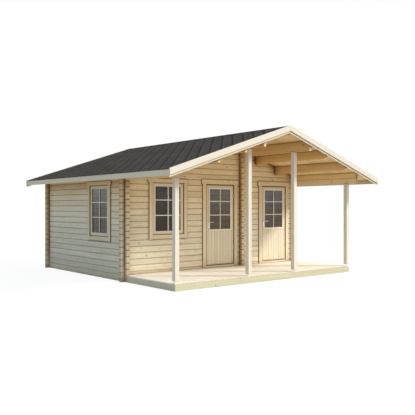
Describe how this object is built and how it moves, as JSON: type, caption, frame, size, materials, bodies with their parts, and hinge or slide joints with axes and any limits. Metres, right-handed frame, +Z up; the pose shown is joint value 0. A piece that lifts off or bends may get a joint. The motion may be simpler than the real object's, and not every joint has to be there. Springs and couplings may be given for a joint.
{
  "type": "log-built sauna cabin",
  "caption": "Log-built sauna cabin with a partitioned interior, hinged outside doors, glazed windows and a roofed front veranda under a low gable roof.",
  "frame": {"origin": "ground level, in the middle of the roof's footprint", "axes": "+X to the right along the front, +Y from the veranda to the back wall, +Z up"},
  "size_m": [6.26, 6.46, 3.3164],
  "materials": {
    "logs": "planed, clear",
    "boards": "planed, clear",
    "deck_wood": "planed, clear",
    "treated_wood": "planed, pressure treated",
    "posts": "planed, pale",
    "edge_wood": "planed, pale",
    "trim_wood": "planed, clear",
    "frame_wood": "planed, clear",
    "door_wood": "planed, clear",
    "roofing_felt": "mineral surfaced, matt",
    "clear_glass": "clear",
    "handle_steel": "satin"
  },
  "bodies": {
    "cabin": {"left_wall": "logs", "right_wall": "logs", "back_wall": "logs", "partition_wall": "logs", "front_wall_base": "logs", "front_wall_left": "logs", "front_wall_middle": "logs", "front_wall_right": "logs", "front_gable": "logs", "side_beams": "logs", "floor_joists": "treated_wood", "room_floors": "boards", "deck_joists": "treated_wood", "deck_boards": "deck_wood", "deck_edge_boards": "treated_wood", "veranda_posts": "posts", "ridge_beam": "logs", "purlins": "logs", "roof_boards": "boards", "roofing": "roofing_felt", "ridge_cap": "roofing_felt", "eave_fascias": "edge_wood", "barge_boards": "edge_wood", "barge_covers": "edge_wood", "front_window_frame": "frame_wood", "front_window_trim": "trim_wood", "front_window_sash": "frame_wood", "front_window_glass": "clear_glass", "left_window_frame": "frame_wood", "left_window_trim": "trim_wood", "left_window_sash": "frame_wood", "left_window_glass": "clear_glass", "left_door_frame": "frame_wood", "left_door_trim": "trim_wood", "right_door_frame": "frame_wood", "right_door_trim": "trim_wood", "hinge_pins": "handle_steel"},
    "left_door": {"left_door_leaf": "door_wood", "left_door_glass": "clear_glass", "left_door_handle": "handle_steel", "left_door_hinges": "handle_steel"},
    "right_door": {"right_door_leaf": "door_wood", "right_door_glass": "clear_glass", "right_door_handle": "handle_steel", "right_door_hinges": "handle_steel"}
  },
  "joints": [
    {"name": "left_door_hinge", "type": "hinge", "parent": "cabin", "child": "left_door", "pos_m": [0.4645, -0.9135, 0.2], "axis": [0, 0, 1], "range_deg": [0, 100]},
    {"name": "right_door_hinge", "type": "hinge", "parent": "cabin", "child": "right_door", "pos_m": [2.3045, -0.9135, 0.2], "axis": [0, 0, 1], "range_deg": [0, 100]}
  ]
}
